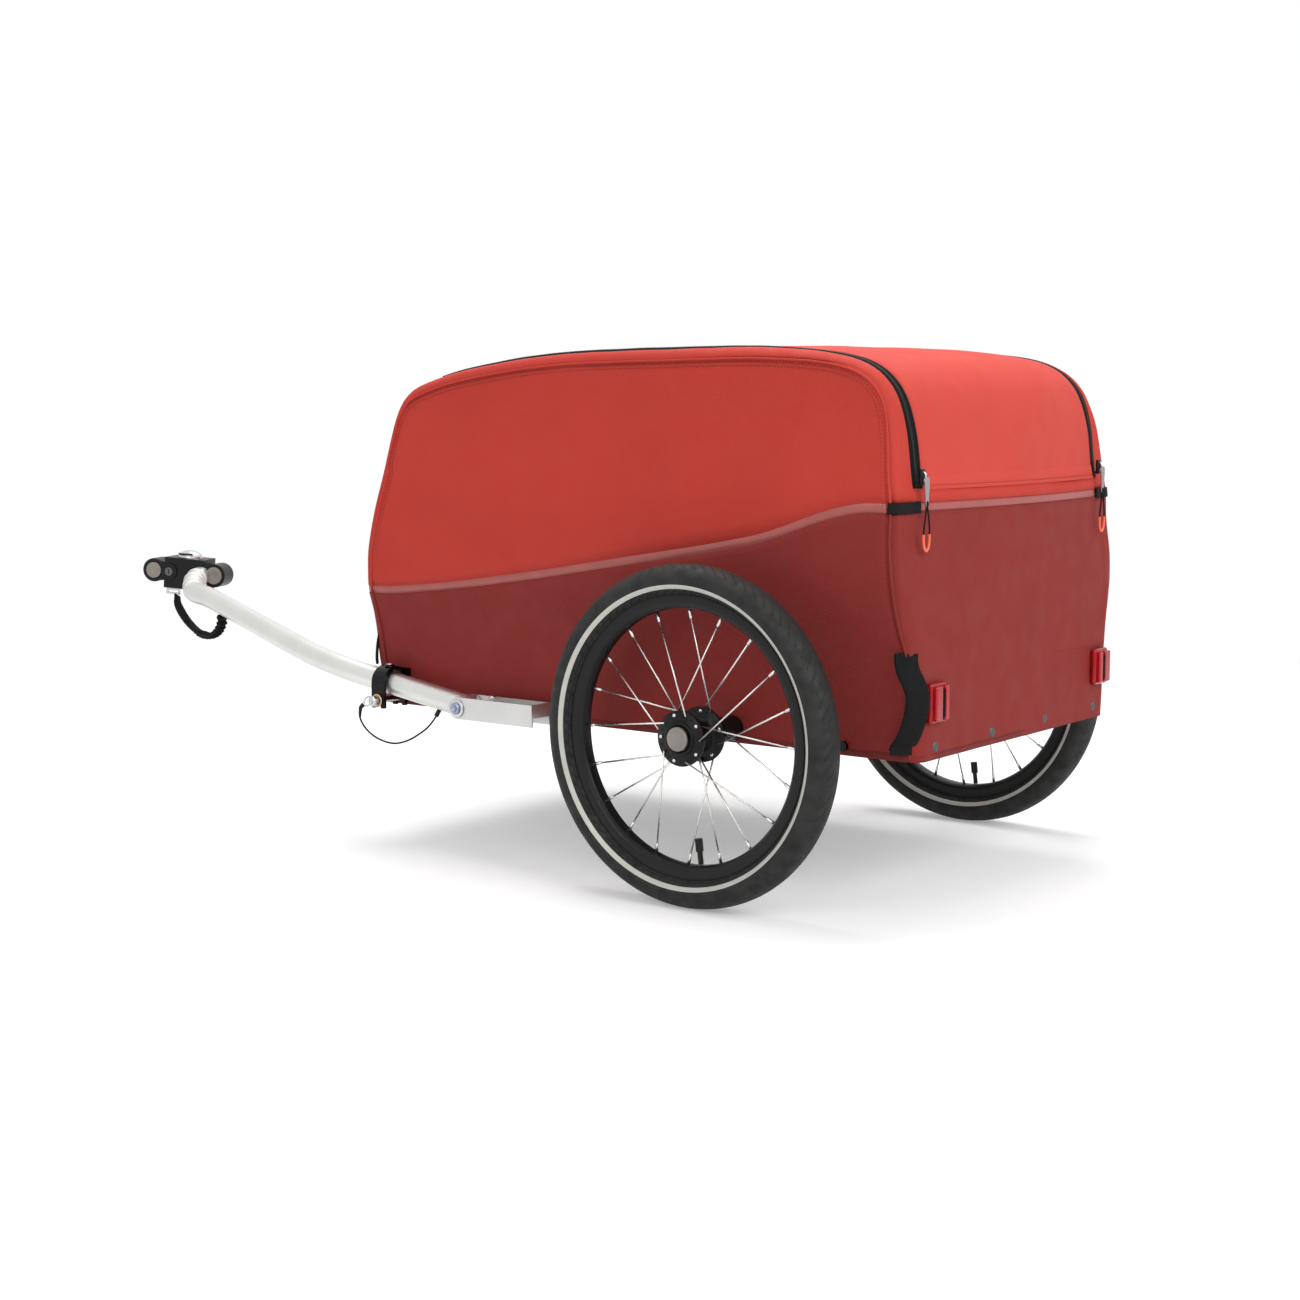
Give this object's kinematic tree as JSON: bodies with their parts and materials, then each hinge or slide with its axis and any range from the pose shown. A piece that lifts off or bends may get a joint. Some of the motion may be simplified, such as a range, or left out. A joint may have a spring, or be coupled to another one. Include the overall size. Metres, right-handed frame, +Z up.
{
  "type": "cargo bike trailer",
  "caption": "Two-wheeled cargo bike trailer: red fabric box on a tube frame, 16-inch spoked wheels, folding aluminium tow bar with axle-hitch coupler.",
  "frame": {"origin": "on the ground, under the middle of the bounding box without the cords", "axes": "+X to the rear, +Y to the trailer's right-hand side, +Z up"},
  "size_m": [1.4548, 0.7044, 0.6539],
  "materials": {
    "lower_fabric": "coated woven polyester",
    "upper_fabric": "coated woven polyester",
    "lid_fabric": "coated woven polyester",
    "band_fabric": "reflective tape",
    "webbing": "black webbing",
    "black_cord": "black braided cord",
    "aluminium": "brushed",
    "tow_aluminium": "satin anodised",
    "floor_board": "matte",
    "tyre": "matte rubber",
    "rim": "satin black",
    "black_metal": "satin black",
    "black_plastic": "moulded",
    "grey_plastic": "moulded",
    "steel": "plated",
    "red_lens": "clear red"
  },
  "bodies": {
    "trailer_frame": {"lower_cover": "lower_fabric", "reflective_band": "band_fabric", "upper_cover": "upper_fabric", "zipper_left": "webbing", "zipper_right": "webbing", "base_frame": "aluminium", "floor_panel": "floor_board", "axle_cross_tube": "aluminium", "side_hoop_left": "aluminium", "side_hoop_right": "aluminium", "front_cross_tube": "aluminium", "rear_cross_tube": "aluminium", "stub_axle_left": "steel", "stub_axle_right": "steel", "axle_receiver_left": "black_plastic", "axle_receiver_right": "black_plastic", "tow_bracket": "aluminium", "pivot_bolt": "steel", "tow_saddle": "black_plastic", "reflector_housing_left": "red_lens", "reflector_housing_right": "red_lens", "reflector_lens_left": "red_lens", "reflector_lens_right": "red_lens", "hem_rivet_1": "steel", "hem_rivet_2": "steel", "hem_rivet_3": "steel", "hem_rivet_4": "steel", "hem_knob_left": "black_plastic", "hem_knob_right": "black_plastic", "corner_strap": "webbing"},
    "wheel_left": {"tyre_left": "tyre", "rim_left": "rim", "hub_and_spokes_left": "black_metal", "valve_left": "black_plastic", "outer_bearing_left": "steel", "inner_bearing_left": "steel"},
    "wheel_right": {"tyre_right": "tyre", "rim_right": "rim", "hub_and_spokes_right": "black_metal", "valve_right": "black_plastic", "outer_bearing_right": "steel", "inner_bearing_right": "steel"},
    "axle_button_left": {"axle_button_left": "grey_plastic"},
    "axle_button_right": {"axle_button_right": "grey_plastic"},
    "tow_bar": {"tow_tube": "tow_aluminium", "coupler_housing": "black_plastic", "coupler_top_cap": "steel", "strap_loop": "steel", "safety_strap": "webbing", "pin_lanyard": "black_cord"},
    "locking_pin": {"locking_pin": "steel"},
    "release_button": {"release_button": "grey_plastic"},
    "lock_core": {"lock_core": "steel"},
    "lid_roof": {"lid_roof": "lid_fabric"},
    "lid_rear": {"lid_rear": "lid_fabric"},
    "zip_slider_left": {"zip_slider_left": "black_metal"},
    "zip_slider_right": {"zip_slider_right": "black_metal"},
    "zip_pull_left": {"zip_pull_left": "black_cord"},
    "zip_pull_right": {"zip_pull_right": "black_cord"}
  },
  "joints": [
    {"name": "wheel_left_spin", "type": "hinge", "parent": "trailer_frame", "child": "wheel_left", "pos_m": [0.462, -0.3275, 0.2], "axis": [0, 1, 0], "continuous": true},
    {"name": "wheel_right_spin", "type": "hinge", "parent": "trailer_frame", "child": "wheel_right", "pos_m": [0.462, 0.3275, 0.2], "axis": [0, 1, 0], "continuous": true},
    {"name": "axle_button_left_press", "type": "slide", "parent": "trailer_frame", "child": "axle_button_left", "axis": [0, 1, 0], "range_m": [0, 0.0035], "stiffness_N_per_m": 600},
    {"name": "axle_button_right_press", "type": "slide", "parent": "trailer_frame", "child": "axle_button_right", "axis": [0, -1, 0], "range_m": [0, 0.0035], "stiffness_N_per_m": 600},
    {"name": "tow_bar_fold", "type": "hinge", "parent": "trailer_frame", "child": "tow_bar", "pos_m": [0.062, -0.2635, 0.193], "axis": [0, -1, 0], "range_deg": [0, 180]},
    {"name": "locking_pin_pull", "type": "slide", "parent": "tow_bar", "child": "locking_pin", "axis": [0, -1, 0], "range_m": [0, 0.048]},
    {"name": "release_button_press", "type": "slide", "parent": "tow_bar", "child": "release_button", "axis": [-0.4226, 0.9063, 0], "range_m": [0, 0.004], "stiffness_N_per_m": 500},
    {"name": "lock_turn", "type": "hinge", "parent": "tow_bar", "child": "lock_core", "pos_m": [-0.67378, -0.12069, 0.32181], "axis": [-0.4226, 0.9063, 0], "range_deg": [0, 90]},
    {"name": "lid_roof_open", "type": "hinge", "parent": "trailer_frame", "child": "lid_roof", "pos_m": [-0.00765, 0, 0.6211], "axis": [0, -1, 0], "range_deg": [0, 150]},
    {"name": "lid_rear_open", "type": "hinge", "parent": "lid_roof", "child": "lid_rear", "pos_m": [0.60235, 0, 0.6465], "axis": [0, -1, 0], "range_deg": [0, 120]},
    {"name": "zip_slider_left_run", "type": "slide", "parent": "trailer_frame", "child": "zip_slider_left", "axis": [0, 0, 1], "range_m": [0, 0.04]},
    {"name": "zip_slider_right_run", "type": "slide", "parent": "trailer_frame", "child": "zip_slider_right", "axis": [0, 0, 1], "range_m": [0, 0.04]},
    {"name": "zip_pull_left_swing", "type": "hinge", "parent": "zip_slider_left", "child": "zip_pull_left", "pos_m": [0.7099, -0.222, 0.5], "axis": [0, -1, 0], "range_deg": [0, 90]},
    {"name": "zip_pull_right_swing", "type": "hinge", "parent": "zip_slider_right", "child": "zip_pull_right", "pos_m": [0.7099, 0.222, 0.5], "axis": [0, -1, 0], "range_deg": [0, 90]}
  ]
}
